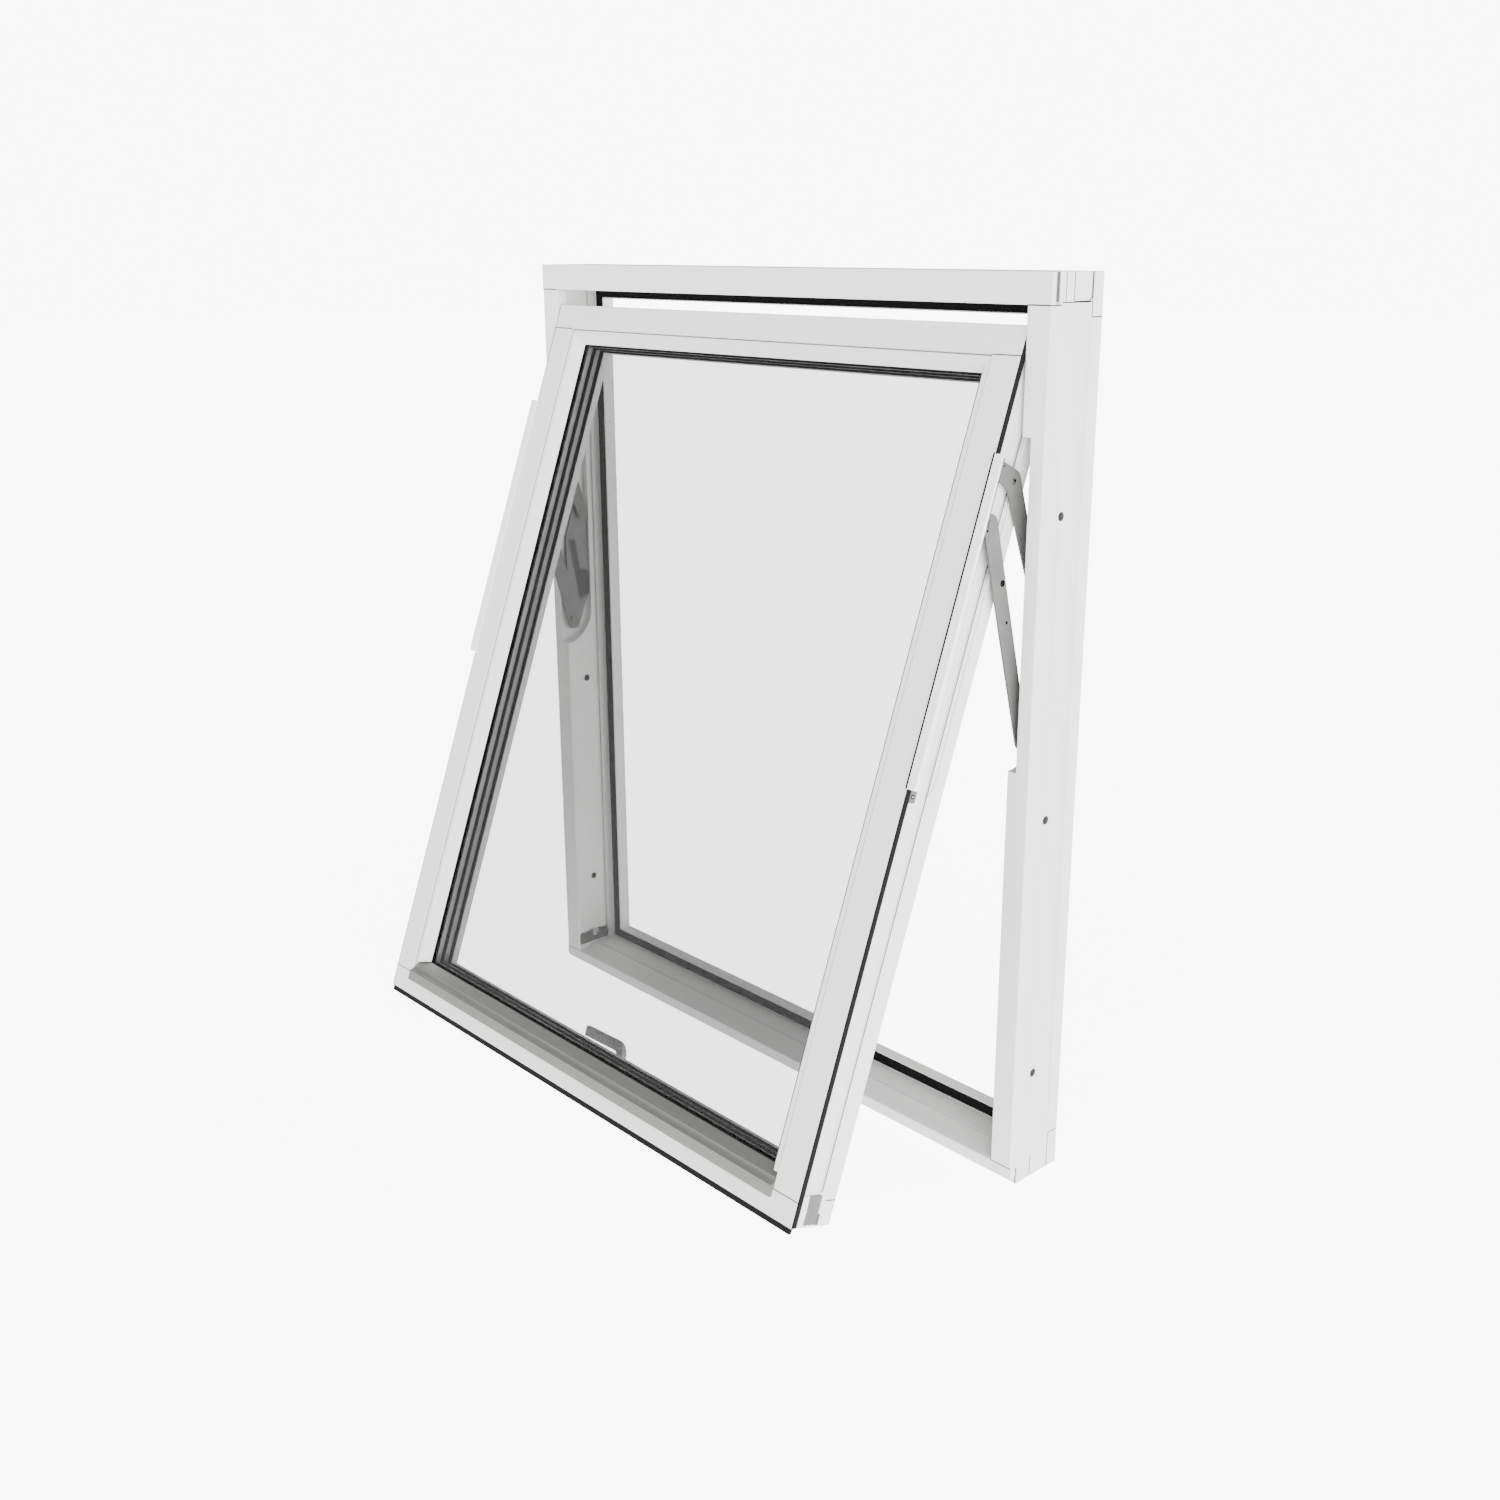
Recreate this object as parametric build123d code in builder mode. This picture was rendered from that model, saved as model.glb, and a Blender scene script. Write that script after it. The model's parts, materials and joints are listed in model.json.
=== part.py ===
from build123d import *
import os
from math import cos, hypot, radians, sin

# Outward opening top-swing window: timber frame, triple glazed timber sash on two pairs of arms.
# Millimetres. X runs along the sill, Y runs inward, Z runs up. The origin is the middle of the
# sill's underside. In the names below, y is measured inward from the frame's outer face, t from
# the frame's outer side, s down the sash from its top edge and n inward from the sash's front face.

# Frame
frame_width = 1180.0
frame_height = 1400.0
frame_depth = 116.0
front_lip = 41.0
lip_depth = 24.0
rebate_step = 3.5
stop_width = 61.0
stop_depth = 24.0
head_lip = 44.0
edge_round = 2.5
kerf_width = 6.5
kerf_depth = 5.0
kerf_y = 69.5

# Sill
nose_depth = 13.0
nose_bottom = 12.8
nose_top = 32.0
nose_kerf = 2.5
sill_groove_y = 44.0
sill_groove_width = 3.0
sill_rise = 7.0
sill_floor = 40.0

# Marks on the ends of the head and the sill
end_kerf_y = 9.5
end_kerf_width = 8.5
end_kerf_depth = 3.0
seam_width = 0.8
head_seam_y = 31.6
sill_seam_y = 49.0
sill_seam_margin = 4.0
tenon_y = 50.0
tenon_width = 41.0
tenon_height = 40.0
tenon_chamfer = 6.0
tenon_sink = 0.8

# Fixing holes through the jambs, heights from the underside
fixing_r = 7.0
fixing_y = 45.0
fixing_low = 187.0
fixing_middle = 609.0
fixing_high_drop = 334.0

# Gaps round the shut sash, which stands upright in the frame
side_gap = 3.0
head_gap = 7.5
sash_foot_gap = 4.5
stop_gap = 3.0

# Sash; when it opens, its top edge slides down
sash_depth = 81.0
open_angle = 20.0
sash_top_y = 9.5
open_slide = 22.5
top_rail_height = 43.7
bottom_rail_height = 39.0
stile_front_lip = 1.5
side_recess_depth = 3.0
side_step_n = 46.0
hinge_recess_n = 59.0
hinge_recess_end = 649.0
top_round = 2.5

# Beads; their widths reach from the timber's joint to the daylight
bead_outer = 51.0
side_bead_width = 25.0
top_bead_width = 23.0
bottom_bead_width = 29.0
top_bead_gap = 2.0
bead_front_n = 2.0
bead_flat = 10.0
bead_nose = 1.5
bead_foot_gap = 1.5
bead_foot_slope = 7.0

# Triple glazing unit
glass_n = 21.0
glass_thick = 4.0
cavity = 16.0
edge_cover = 14.0
edge_seal = 3.0
spacer_bar = 12.0
seal_front = 3.4
seal_middle = 2.0
tape = 1.0
block_length = 100.0

# Aluminium bottom bead; its lip is measured from the joint of the bottom rail
sill_bead_sight = 0.5
sill_bead_shoulder_n = 3.0
sill_bead_shoulder_drop = 13.5
sill_bead_cove = 14.0
sill_bead_lip_n = 6.0
sill_bead_lip_rise = 4.5
sill_bead_lip_drop = 12.5
sill_bead_edge = 1.0

# Gaskets
gasket_n = 7.5
seal_drop = 9.5
seal_inset = 3.0
seal_front_n = 0.5
seal_taper = 1.0
frame_gasket_base = 1.0
frame_gasket_lip = 1.4
frame_gasket_foot = 2.0
frame_gasket_margin = 2.0

# Hinge pocket in the jambs
pocket_y = 62.0
pocket_top_drop = 222.0
pocket_foot_room = 44.0
pocket_round = 60.0

# Arms and pivots; foot heights are drops from the top of the frame
low_foot_y = 20.5
low_foot_drop = 669.0
high_foot_y = 47.0
high_foot_drop = 462.0
low_head_s = 277.0
low_head_n = 17.5
high_head_s = 201.0
high_head_n = 16.5
hinge_room = 12.7
plate_thick = 1.7
arm_gap = 0.3
arm_thick = 3.0
high_arm_step = 1.6
low_arm_foot_r = 13.0
low_arm_head_r = 15.0
high_arm_foot_r = 11.0
high_arm_elbow_r = 16.0
high_arm_head_r = 13.0
pin_r = 5.0
pin_clearance = 0.05
pin_head_r = 8.0
pin_head = 1.0
boss_r = 6.5
arm_hole_r = 5.0
arm_slot_r = 2.5
arm_hole_offset = 7.0
arm_hole_drop = 92.0
arm_slot_offset = 4.0
arm_slot_drop = 152.0
elbow_forward = 64.0
elbow_rise = 180.0

# Outline of the hinge plate round the two feet
plate_margin_front = 9.5
plate_margin_low = 18.0
plate_margin_top = 17.0
plate_margin_back = 3.0
plate_low_width = 22.5
plate_low_slope = 65.0
plate_top_width = 26.0
plate_top_slope = 60.0
plate_corner = 4.0
stand_off = 6.8
stand_off_width = 18.0
stand_off_height = 56.0
stand_off_low_rise = 69.0
stand_off_high_drop = 45.0

# Rails on the side of the sash
hinge_rail_n = 9.5
hinge_rail_width = 14.5
rail_head_margin = 19.0
cover_end = 661.0
rail_foot_margin = 19.0
cover_wall = 1.5
cover_reach = 16.0
cover_front_n = 2.5
cover_top_n = 1.0
cover_foot_n = 9.0
cover_leg_n = 7.5

# Locking; rises are from the foot of the sash
corner_rise = 47.5
corner_length = 44.0
corner_n = 24.0
corner_width = 26.0
slot_rise = 19.5
slot_length = 17.0
slot_width = 5.0
slot_depth = 9.0
bolt_rise = 17.5
bolt_n = 36.0
bolt_r = 4.0
bolt_length = 26.0
bolt_clearance = 0.3
bolt_room = 13.0
striker_thick = 1.5
striker_drop = 18.4
striker_height = 26.0
striker_depth = 71.0
striker_front = 2.0
striker_point = 5.0
striker_low_slope = 10.0
striker_high_slope = 3.0
striker_shoulder = 23.0
striker_play = 0.2
bolt_pocket_depth = 6.5
bolt_play = 4.0

# Handle on the inner face of the bottom rail
handle_foot_rise = 32.5
rosette_r = 13.0
rosette_thick = 4.0
handle_reach = 25.0
handle_thick = 9.0
handle_width = 17.0
handle_crank = 38.5
handle_bend = 14.0
handle_rise = 3.0
handle_gap = 0.3
grip_length = 107.0
hub_r = 9.0

# Cuts run past the faces that they open
cut_margin = 1.0
mitre_margin = 5.0

# Worked out from the sizes above
half_width = frame_width / 2
outer_y = -frame_depth / 2
rebate_floor = front_lip - rebate_step
stop_y = frame_depth - stop_depth
sash_edge = front_lip + side_gap
head_floor = frame_height - head_lip + rebate_step
closed_y = stop_y - stop_gap - sash_depth
closed_z = head_floor - head_gap
sash_length = closed_z - sill_floor - sash_foot_gap
half_sash = half_width - sash_edge
sash_top_z = closed_z - open_slide
tilt_sin = sin(radians(open_angle))
tilt_cos = cos(radians(open_angle))
bead_x = half_sash - bead_outer
daylight_x = bead_x - side_bead_width
glass_x = daylight_x + edge_cover
daylight_top = top_rail_height + top_bead_width
glass_top = daylight_top - edge_cover
bottom_joint = sash_length - bottom_rail_height
daylight_foot = bottom_joint - bottom_bead_width
glass_foot = daylight_foot + edge_cover
unit_depth = 3 * glass_thick + 2 * cavity
middle_glass_n = glass_n + glass_thick + cavity
inner_glass_n = middle_glass_n + glass_thick + cavity
bead_back_n = glass_n - tape
inner_lip_n = glass_n + unit_depth + tape
plate_t = sash_edge - hinge_room
pocket_floor = plate_t - stand_off
cover_t = sash_edge - cover_reach
rail_start = high_head_s - rail_head_margin
hinge_rail_end = cover_end + rail_foot_margin
corner_start = sash_length - corner_rise
slot_s = sash_length - slot_rise
bolt_s = sash_length - bolt_rise
handle_s = sash_length - handle_foot_rise
striker_foot = closed_z - bolt_s - striker_drop
low_arm_t = plate_t + plate_thick + arm_gap
high_arm_t = low_arm_t + arm_thick + high_arm_step
rail_face_t = sash_edge
sides = ((-1, "left"), (1, "right"))

os.makedirs("parts", exist_ok=True)


def save(builder, name):
    builder.part.label = name
    export_step(builder.part, f"parts/{name}.step")


# Helper planes and points


def section_plane(x):
    """Across the frame: local x is measured in from its outer face, local y is the height."""
    return Plane(origin=(x, outer_y, 0), x_dir=(0, 1, 0), z_dir=(1, 0, 0))


def front_plane(y):
    """Parallel to the frame's outer face, y in from it, facing out."""
    return Plane(origin=(0, outer_y + y, 0), x_dir=(1, 0, 0), z_dir=(0, -1, 0))


def side_x(side, t):
    """x of a point that lies t in from the frame's outer side."""
    return side * (half_width - t)


def sash_point(s, n):
    """y from the frame's outer face, and z, of a point s down the sash and n into it."""
    y = sash_top_y - s * tilt_sin + n * tilt_cos
    z = sash_top_z - s * tilt_cos - n * tilt_sin
    return y, z


def face_plane(n):
    """Parallel to the sash's front face: local x along X, local y up the sash from its top edge."""
    y, z = sash_point(0, n)
    return Plane(origin=(0, outer_y + y, z), x_dir=(1, 0, 0), z_dir=(0, -tilt_cos, tilt_sin))


def rail_plane(x):
    """Across a rail: local x is n, local y runs up the sash."""
    corner = (x, outer_y + sash_top_y, sash_top_z)
    return Plane(origin=corner, x_dir=(0, tilt_cos, -tilt_sin), z_dir=(1, 0, 0))


def stile_plane(s):
    """Across a stile: local x along X, local y is n; extruding by a negative amount goes down."""
    y, z = sash_point(s, 0)
    return Plane(origin=(0, outer_y + y, z), x_dir=(1, 0, 0), z_dir=(0, tilt_sin, tilt_cos))


def arm_plane(x, foot, head):
    """Local y runs from an arm's foot to its head, local x is square to it and points inward."""
    length = hypot(head[0] - foot[0], head[1] - foot[1])
    along_y = (head[0] - foot[0]) / length
    along_z = (head[1] - foot[1]) / length
    origin = (x, outer_y + foot[0], foot[1])
    return Plane(origin=origin, x_dir=(0, along_z, -along_y), z_dir=(1, 0, 0))


low_foot = (low_foot_y, frame_height - low_foot_drop)
high_foot = (high_foot_y, frame_height - high_foot_drop)
low_head = sash_point(low_head_s, low_head_n)
high_head = sash_point(high_head_s, high_head_n)
low_arm_length = hypot(low_head[0] - low_foot[0], low_head[1] - low_foot[1])


# Frame


def head_section():
    """The head's section, y and z, without its stop."""
    top = frame_height
    Polyline(
        (0, top),
        (0, top - head_lip),
        (lip_depth, top - head_lip),
        (lip_depth, head_floor),
        (stop_y, head_floor),
        (stop_y, top),
        close=True,
    )


def sill_section():
    """The sill's section, y and z, without its stop: nose, drip kerf, sloping top, flat floor."""
    kerf_back = nose_depth + nose_kerf
    groove_back = sill_groove_y + sill_groove_width
    Polyline(
        (0, nose_bottom),
        (0, nose_top),
        (sill_groove_y, nose_top + sill_rise),
        (sill_groove_y, nose_top + sill_rise - sill_groove_width),
        (groove_back, nose_top + sill_rise - sill_groove_width),
        (groove_back, sill_floor),
        (stop_y, sill_floor),
        (stop_y, 0),
        (kerf_back, 0),
        (kerf_back, nose_top - nose_kerf),
        (nose_depth, nose_top - nose_kerf),
        (nose_depth, nose_bottom),
        close=True,
    )


def end_seam(side, y, low, high):
    """A thin joint line, cut into the end of the head or the sill."""
    with BuildSketch(section_plane(side * half_width)) as seam:
        with Locations((y, (low + high) / 2)):
            Rectangle(seam_width, high - low)
    extrude(seam.sketch, amount=-side * seam_width, mode=Mode.SUBTRACT)


with BuildPart() as head:
    with BuildSketch(section_plane(-half_width)):
        with BuildLine():
            head_section()
        make_face()
    extrude(amount=frame_width)
    fillet(head.edges().filter_by(Axis.X).group_by(Axis.Y)[0].group_by(Axis.Z)[0], edge_round)
    with BuildSketch(section_plane(rebate_floor - half_width)):
        with Locations((kerf_y + kerf_width / 2, head_floor)):
            Rectangle(kerf_width, 2 * kerf_depth)
    extrude(amount=frame_width - 2 * rebate_floor, mode=Mode.SUBTRACT)
    for side, _ in sides:
        with BuildSketch(section_plane(side * half_width)):
            with Locations((end_kerf_y + end_kerf_width / 2, frame_height - head_lip / 2)):
                Rectangle(end_kerf_width, head_lip)
        extrude(amount=-side * end_kerf_depth, mode=Mode.SUBTRACT)
        with BuildSketch(section_plane(side * half_width)):
            with BuildLine():
                Polyline(
                    (tenon_y, frame_height),
                    (tenon_y, frame_height - tenon_height),
                    (tenon_y + tenon_width - tenon_chamfer, frame_height - tenon_height),
                    (tenon_y + tenon_width, frame_height - tenon_height + tenon_chamfer),
                    (tenon_y + tenon_width, frame_height),
                    close=True,
                )
            make_face()
        extrude(amount=-side * tenon_sink, mode=Mode.SUBTRACT)
        end_seam(side, head_seam_y, head_floor, frame_height)
save(head, "frame_head")

with BuildPart() as sill:
    with BuildSketch(section_plane(-half_width)):
        with BuildLine():
            sill_section()
        make_face()
    extrude(amount=frame_width)
    fillet(sill.edges().filter_by(Axis.X).group_by(Axis.Y)[0].group_by(Axis.Z)[-1], edge_round)
    for side, _ in sides:
        end_seam(side, sill_seam_y, sill_seam_margin, sill_floor - sill_seam_margin)
save(sill, "frame_sill")


def make_stop(centre_x, width, low, high):
    """One of the four strips that the shut sash comes up against."""
    with BuildPart() as stop:
        with BuildSketch(front_plane(stop_y)):
            with Locations((centre_x, (low + high) / 2)):
                Rectangle(width, high - low)
        extrude(amount=-stop_depth)
    return stop


save(make_stop(0, frame_width, frame_height - stop_width, frame_height), "frame_stop_head")
save(make_stop(0, frame_width, 0, stop_width), "frame_stop_sill")
for side, name in sides:
    side_stop = make_stop(side_x(side, stop_width / 2), stop_width, stop_width, frame_height - stop_width)
    save(side_stop, f"frame_stop_{name}")


def hinge_pocket(side):
    """Cuts the lip and the rebate floor back for the arms and the cover rail, round at its foot."""
    low = low_foot[1] - pocket_foot_room
    high = frame_height - pocket_top_drop
    with BuildSketch(section_plane(side_x(side, pocket_floor))) as pocket:
        with BuildLine():
            Polyline((-cut_margin, low), (pocket_y - pocket_round, low))
            RadiusArc((pocket_y - pocket_round, low), (pocket_y, low + pocket_round), -pocket_round)
            Polyline((pocket_y, low + pocket_round), (pocket_y, high), (-cut_margin, high), (-cut_margin, low))
        make_face()
    extrude(pocket.sketch, amount=-side * (front_lip - pocket_floor + cut_margin), mode=Mode.SUBTRACT)


def fixing_heights():
    return (fixing_low, fixing_middle, frame_height - fixing_high_drop)


def striker_outline(grow):
    """The striker plate's outline, y and z, with its pointed inner end."""
    low = striker_foot - grow
    high = striker_foot + striker_height + grow
    front = striker_front - grow
    back = front + striker_depth + 2 * grow
    Polyline(
        (front, low),
        (back, low),
        (back + striker_point, low + striker_low_slope),
        (back, high - striker_high_slope),
        (back - striker_shoulder, high),
        (front, high),
        close=True,
    )


def make_jamb(side):
    with BuildPart() as jamb:
        with BuildSketch(Plane(origin=(0, outer_y, 0))):
            with BuildLine():
                Polyline(
                    (side_x(side, 0), 0),
                    (side_x(side, front_lip), 0),
                    (side_x(side, front_lip), lip_depth),
                    (side_x(side, rebate_floor), lip_depth),
                    (side_x(side, rebate_floor), kerf_y),
                    (side_x(side, rebate_floor - kerf_depth), kerf_y),
                    (side_x(side, rebate_floor - kerf_depth), kerf_y + kerf_width),
                    (side_x(side, rebate_floor), kerf_y + kerf_width),
                    (side_x(side, rebate_floor), stop_y),
                    (side_x(side, 0), stop_y),
                    close=True,
                )
            make_face()
            fillet(vertices().group_by(Axis.Y)[0], edge_round)
        extrude(amount=frame_height)
        with BuildSketch(section_plane(-half_width)):
            with BuildLine():
                head_section()
            make_face()
        extrude(amount=frame_width, mode=Mode.SUBTRACT)
        with BuildSketch(section_plane(-half_width)):
            with BuildLine():
                sill_section()
            make_face()
            with Locations((nose_depth, 0)):
                Rectangle(2 * (nose_depth + nose_kerf), 2 * (nose_top - nose_kerf))
        extrude(amount=frame_width, mode=Mode.SUBTRACT)
        hinge_pocket(side)
        with BuildSketch(section_plane(side_x(side, rebate_floor))):
            with BuildLine():
                striker_outline(striker_play)
            make_face()
        extrude(amount=-side * (rebate_step + cut_margin), mode=Mode.SUBTRACT)
        bolt_y, bolt_z = bolt_closed()
        with BuildSketch(section_plane(side_x(side, rebate_floor))):
            with Locations((bolt_y, bolt_z)):
                Rectangle(2 * (bolt_r + bolt_play), 2 * (bolt_r + bolt_play))
        extrude(amount=side * bolt_pocket_depth, mode=Mode.SUBTRACT)
        with BuildSketch(section_plane(side_x(side, 0))):
            for height in fixing_heights():
                with Locations((fixing_y, height)):
                    Circle(fixing_r)
        extrude(amount=-side * front_lip, mode=Mode.SUBTRACT)
    return jamb


def bolt_closed():
    """Where a bolt points to when the sash is shut: y and z."""
    return closed_y + bolt_n, closed_z - bolt_s


for side, name in sides:
    save(make_jamb(side), f"frame_jamb_{name}")


def make_striker(side):
    bolt_y, bolt_z = bolt_closed()
    with BuildPart() as striker:
        with BuildSketch(section_plane(side_x(side, rebate_floor))):
            with BuildLine():
                striker_outline(0)
            make_face()
            with Locations((bolt_y, bolt_z)):
                Circle(bolt_r + bolt_play, mode=Mode.SUBTRACT)
        extrude(amount=-side * striker_thick)
    return striker


for side, name in sides:
    save(make_striker(side), f"striker_{name}")


def ring(outer_x, low, high, width):
    """A flat ring in the plane of the current sketch."""
    with Locations((0, (low + high) / 2)):
        Rectangle(2 * outer_x, high - low)
        Rectangle(2 * (outer_x - width), high - low - 2 * width, mode=Mode.SUBTRACT)


with BuildPart() as frame_gasket:
    gasket_edge = front_lip + frame_gasket_margin
    gasket_width = stop_width - frame_gasket_margin - gasket_edge
    lip_start = gasket_edge + gasket_width - frame_gasket_foot
    with BuildSketch(front_plane(stop_y)):
        ring(half_width - gasket_edge, gasket_edge, frame_height - gasket_edge, gasket_width)
    extrude(amount=frame_gasket_base)
    with BuildSketch(front_plane(stop_y - frame_gasket_base)):
        ring(half_width - gasket_edge, gasket_edge, frame_height - gasket_edge, frame_gasket_foot)
        ring(half_width - lip_start, lip_start, frame_height - lip_start, frame_gasket_foot)
    extrude(amount=frame_gasket_lip)
save(frame_gasket, "frame_gasket")


# Hinges: plate with stand-offs and pins on the frame


def make_hinge_plate(side):
    bottom = low_foot[1] - plate_margin_low
    top = high_foot[1] + plate_margin_top
    inner = pocket_y - plate_margin_back
    front = low_foot_y - plate_margin_front
    with BuildPart() as plate:
        with BuildSketch(section_plane(side_x(side, plate_t))):
            with BuildLine():
                Polyline(
                    (front, bottom),
                    (front + plate_low_width, bottom),
                    (inner, bottom + plate_low_slope),
                    (inner, top),
                    (inner - plate_top_width, top),
                    (front, top - plate_top_slope),
                    close=True,
                )
            make_face()
            fillet(vertices(), plate_corner)
        extrude(amount=-side * plate_thick)
        with BuildSketch(section_plane(side_x(side, pocket_floor))):
            for middle in (low_foot[1] + stand_off_low_rise, high_foot[1] - stand_off_high_drop):
                with Locations((high_foot_y, middle)):
                    Rectangle(stand_off_width, stand_off_height)
        extrude(amount=-side * (plate_t - pocket_floor))
    return plate


def make_pin(side, centre, start_t, end_t, head_t, head_r):
    """A round pin from start_t to end_t with a flat head of the given radius beyond head_t."""
    with BuildPart() as pin:
        with BuildSketch(section_plane(side_x(side, start_t))):
            with Locations(centre):
                Circle(pin_r)
        extrude(amount=-side * (end_t - start_t))
        with BuildSketch(section_plane(side_x(side, head_t))):
            with Locations(centre):
                Circle(head_r)
        extrude(amount=-side * pin_head)
    return pin


plate_face = plate_t + plate_thick
for side, name in sides:
    low_top = low_arm_t + arm_thick + arm_gap
    high_top = high_arm_t + arm_thick + arm_gap
    save(make_hinge_plate(side), f"hinge_plate_{name}")
    save(make_pin(side, low_foot, plate_face, low_top, low_top, pin_head_r), f"frame_pin_low_{name}")
    save(make_pin(side, high_foot, plate_face, high_top, high_top, pin_head_r), f"frame_pin_high_{name}")


# Arms


def make_low_arm(side):
    """Flat tapered link with two holes near its head."""
    with BuildPart() as arm:
        with BuildSketch(arm_plane(side_x(side, low_arm_t), low_foot, low_head)):
            Circle(low_arm_foot_r)
            with Locations((0, low_arm_length)):
                Circle(low_arm_head_r)
            make_hull()
            with Locations((0, 0), (0, low_arm_length)):
                Circle(pin_r + pin_clearance, mode=Mode.SUBTRACT)
            with Locations((arm_hole_offset, low_arm_length - arm_hole_drop)):
                Circle(arm_hole_r, mode=Mode.SUBTRACT)
            with Locations((arm_slot_offset, low_arm_length - arm_slot_drop)):
                Circle(arm_slot_r, mode=Mode.SUBTRACT)
        extrude(amount=-side * arm_thick)
    return arm


# The upper arm bends inward on its way up, so that it clears the lower arm's head pin
elbow = (high_foot_y - elbow_forward, high_foot[1] + elbow_rise)


def make_high_arm(side):
    with BuildPart() as arm:
        with BuildSketch(section_plane(side_x(side, high_arm_t))):
            with Locations(high_foot):
                Circle(high_arm_foot_r)
            with Locations(elbow):
                Circle(high_arm_elbow_r)
            make_hull()
        extrude(amount=-side * arm_thick)
        with BuildSketch(section_plane(side_x(side, high_arm_t))):
            with Locations(elbow):
                Circle(high_arm_elbow_r)
            with Locations(high_head):
                Circle(high_arm_head_r)
            make_hull()
        extrude(amount=-side * arm_thick)
        with BuildSketch(section_plane(side_x(side, high_arm_t))):
            with Locations(high_foot):
                Circle(pin_r + pin_clearance)
            with Locations(elbow):
                Circle(arm_hole_r)
        extrude(amount=-side * arm_thick, mode=Mode.SUBTRACT)
    return arm


def make_disc(side, centre, radius, start_t, end_t):
    with BuildPart() as disc:
        with BuildSketch(section_plane(side_x(side, start_t))):
            with Locations(centre):
                Circle(radius)
        extrude(amount=-side * (end_t - start_t))
    return disc


for side, name in sides:
    save(make_low_arm(side), f"lower_arm_{name}")
    save(make_high_arm(side), f"upper_arm_{name}")
    save(make_disc(side, high_head, boss_r, high_arm_t - pin_head, high_arm_t), f"head_rivet_{name}")
    stub_start = high_arm_t + arm_thick + arm_gap
    save(make_disc(side, high_head, boss_r, stub_start, rail_face_t), f"head_stub_{name}")


def make_arm_pin(side):
    """The lower arm's head pin: flat head outside, shank through the arm, boss on the hinge rail."""
    boss_start = low_arm_t + arm_thick + arm_gap
    head_start = low_arm_t - arm_gap - pin_head
    with BuildPart() as pin:
        for start, end, radius in (
            (head_start, low_arm_t - arm_gap, boss_r),
            (low_arm_t - arm_gap, boss_start, pin_r),
            (boss_start, rail_face_t, boss_r),
        ):
            with BuildSketch(section_plane(side_x(side, start))):
                with Locations(low_head):
                    Circle(radius)
            extrude(amount=-side * (end - start))
    return pin


for side, name in sides:
    save(make_arm_pin(side), f"arm_pin_{name}")


# Sash


def side_recesses():
    """Cuts the sash's sides back behind the front lip, wider beside the hinge."""
    gasket_back = stile_front_lip + gasket_n
    for side, _ in sides:
        with BuildSketch(rail_plane(side * half_sash)) as recess:
            with Locations(((stile_front_lip + side_step_n) / 2, -corner_start / 2)):
                Rectangle(side_step_n - stile_front_lip, corner_start)
            wide = hinge_recess_n - stile_front_lip
            with Locations(((stile_front_lip + hinge_recess_n) / 2, -hinge_recess_end / 2)):
                RectangleRounded(wide, hinge_recess_end + 2 * wide / 3, wide / 3)
            with Locations(((stile_front_lip + gasket_back) / 2, -sash_length / 2)):
                Rectangle(gasket_n, sash_length + 2 * cut_margin)
            with Locations((corner_n + corner_width / 2, -corner_start - corner_length / 2)):
                Rectangle(corner_width, corner_length)
        extrude(recess.sketch, amount=-side * side_recess_depth, mode=Mode.SUBTRACT)
        with BuildSketch(rail_plane(side * half_sash)) as slot:
            with Locations((corner_n + corner_width + slot_width / 2, -slot_s - slot_length / 2)):
                Rectangle(slot_width, slot_length)
        extrude(slot.sketch, amount=-side * slot_depth, mode=Mode.SUBTRACT)


def bolt_holes():
    for side, _ in sides:
        with BuildSketch(rail_plane(side * half_sash)) as hole:
            with Locations((bolt_n, -bolt_s)):
                Circle(bolt_r + bolt_clearance)
        extrude(hole.sketch, amount=-side * (bolt_length + bolt_room), mode=Mode.SUBTRACT)


with BuildPart() as top_rail:
    with BuildSketch(rail_plane(-half_sash)):
        with Locations((sash_depth / 2, -top_rail_height / 2)):
            Rectangle(sash_depth, top_rail_height)
        fillet(vertices().group_by(Axis.X)[0].sort_by(Axis.Y)[-1], top_round)
    extrude(amount=2 * half_sash)
    with BuildSketch(rail_plane(-daylight_x)):
        with Locations(((inner_lip_n + sash_depth) / 2, -(top_rail_height + daylight_top) / 2)):
            Rectangle(sash_depth - inner_lip_n, daylight_top - top_rail_height)
    extrude(amount=2 * daylight_x)
    side_recesses()
save(top_rail, "sash_top_rail")

with BuildPart() as bottom_rail:
    with BuildSketch(rail_plane(-half_sash)):
        with Locations((sash_depth / 2, -(bottom_joint + sash_length) / 2)):
            Rectangle(sash_depth, bottom_rail_height)
    extrude(amount=2 * half_sash)
    with BuildSketch(rail_plane(-daylight_x)):
        with Locations(((inner_lip_n + sash_depth) / 2, -(bottom_joint + daylight_foot) / 2)):
            Rectangle(sash_depth - inner_lip_n, bottom_joint - daylight_foot)
    extrude(amount=2 * daylight_x)
    side_recesses()
    bolt_holes()
save(bottom_rail, "sash_bottom_rail")


def make_stile(side):
    with BuildPart() as stile:
        with BuildSketch(stile_plane(top_rail_height)):
            with BuildLine():
                Polyline(
                    (side * half_sash, 0),
                    (side * bead_x, 0),
                    (side * bead_x, inner_lip_n),
                    (side * daylight_x, inner_lip_n),
                    (side * daylight_x, sash_depth),
                    (side * half_sash, sash_depth),
                    close=True,
                )
            make_face()
        extrude(amount=top_rail_height - bottom_joint)
        side_recesses()
    return stile


for side, name in sides:
    save(make_stile(side), f"sash_stile_{name}")


# Glazing


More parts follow.
